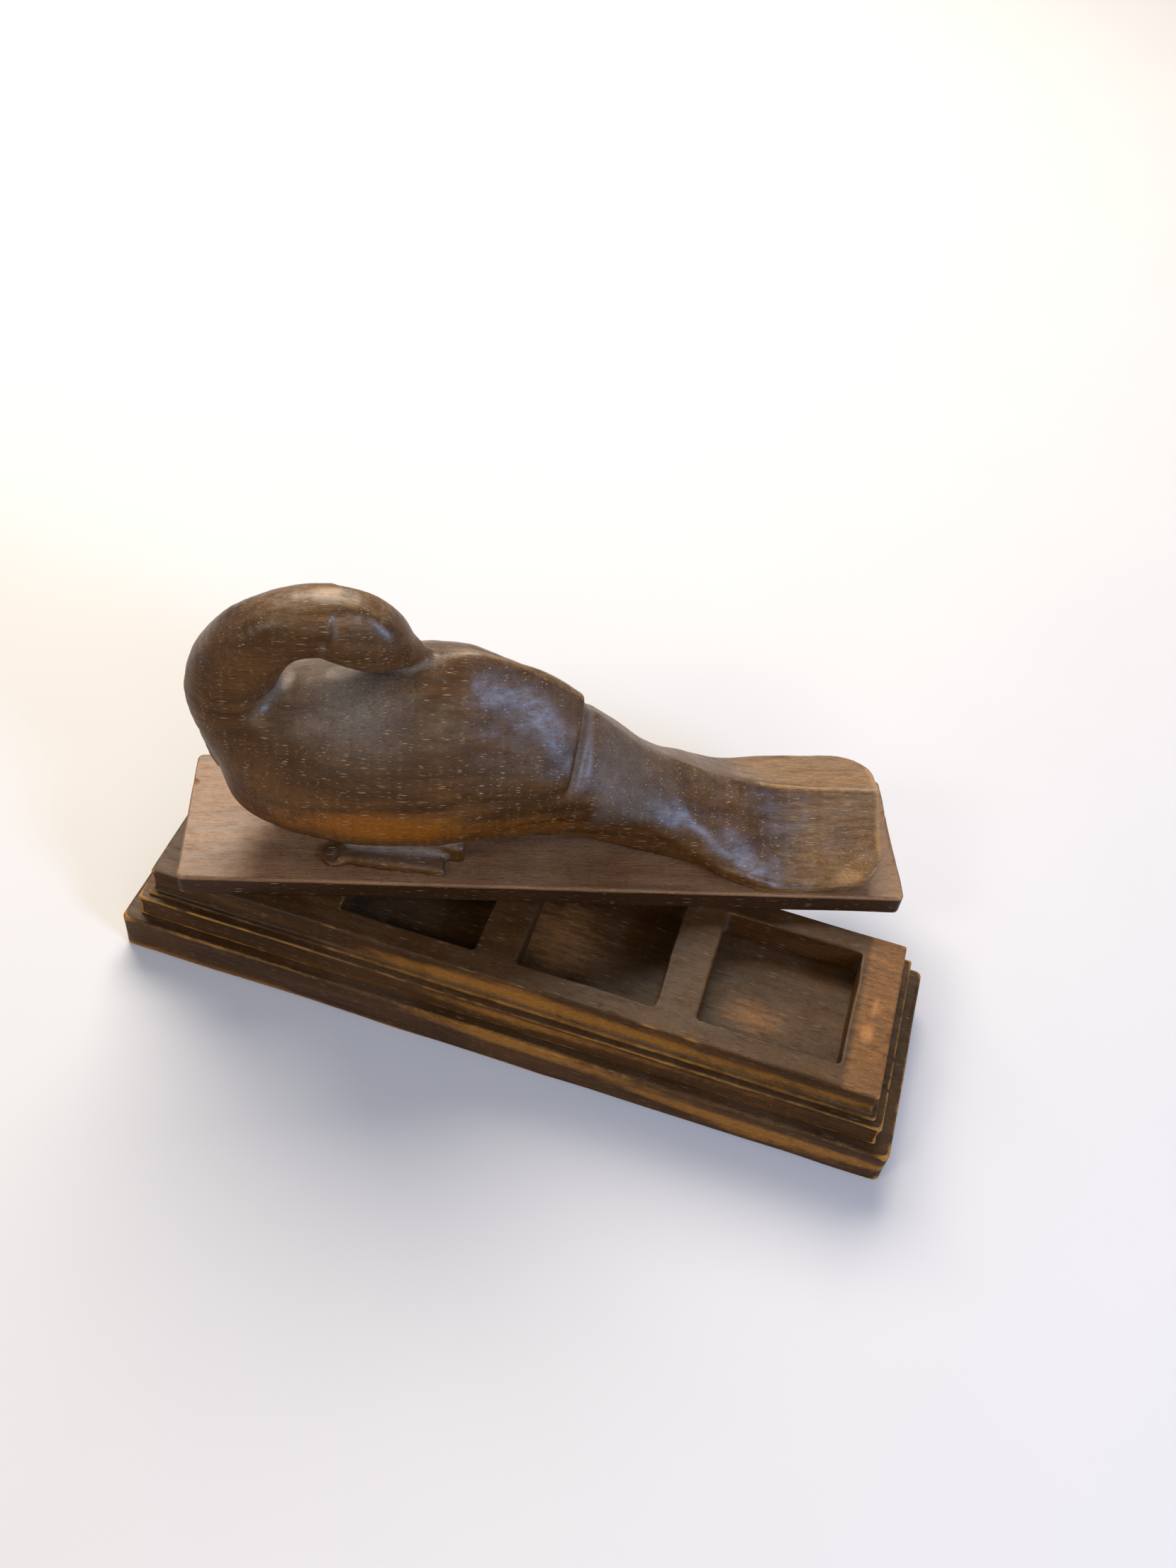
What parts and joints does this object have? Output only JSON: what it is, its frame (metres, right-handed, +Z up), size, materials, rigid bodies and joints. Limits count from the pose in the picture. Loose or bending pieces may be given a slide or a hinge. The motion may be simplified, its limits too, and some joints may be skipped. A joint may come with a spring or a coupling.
{
  "type": "swivel-lid stamp box",
  "caption": "Carved wooden desk stamp box: a stepped base with square wells and a flat lid that swivels on an upright screw, topped by a carved preening bird that serves as the handle.",
  "frame": {"origin": "centre of the base's underside", "axes": "+X along the box towards the wells' open end, +Y towards the side the lid is swung to, +Z up"},
  "size_m": [0.1724, 0.0855, 0.0942],
  "materials": {
    "base_wood": "dark stained open-grained wood, waxed, worn to bare orange wood along the arrises",
    "lid_wood": "dark stained wood with a dull greyed, scratched top",
    "bird_wood": "dark stained, pale filled pores, polished by handling",
    "screw_steel": "dull, tarnished",
    "washer_brass": "dull, tarnished"
  },
  "bodies": {
    "base": {"foot_board": "base_wood", "middle_board": "base_wood", "well_board": "base_wood", "pivot_washer": "washer_brass"},
    "lid": {"lid_board": "lid_wood", "bird_carving": "bird_wood", "pivot_screw": "screw_steel", "carving_screws": "screw_steel"}
  },
  "joints": [
    {"name": "lid_swivel", "type": "hinge", "parent": "base", "child": "lid", "pos_m": [-0.058, 0, 0.0233], "axis": [0, 0, 1], "continuous": true}
  ]
}
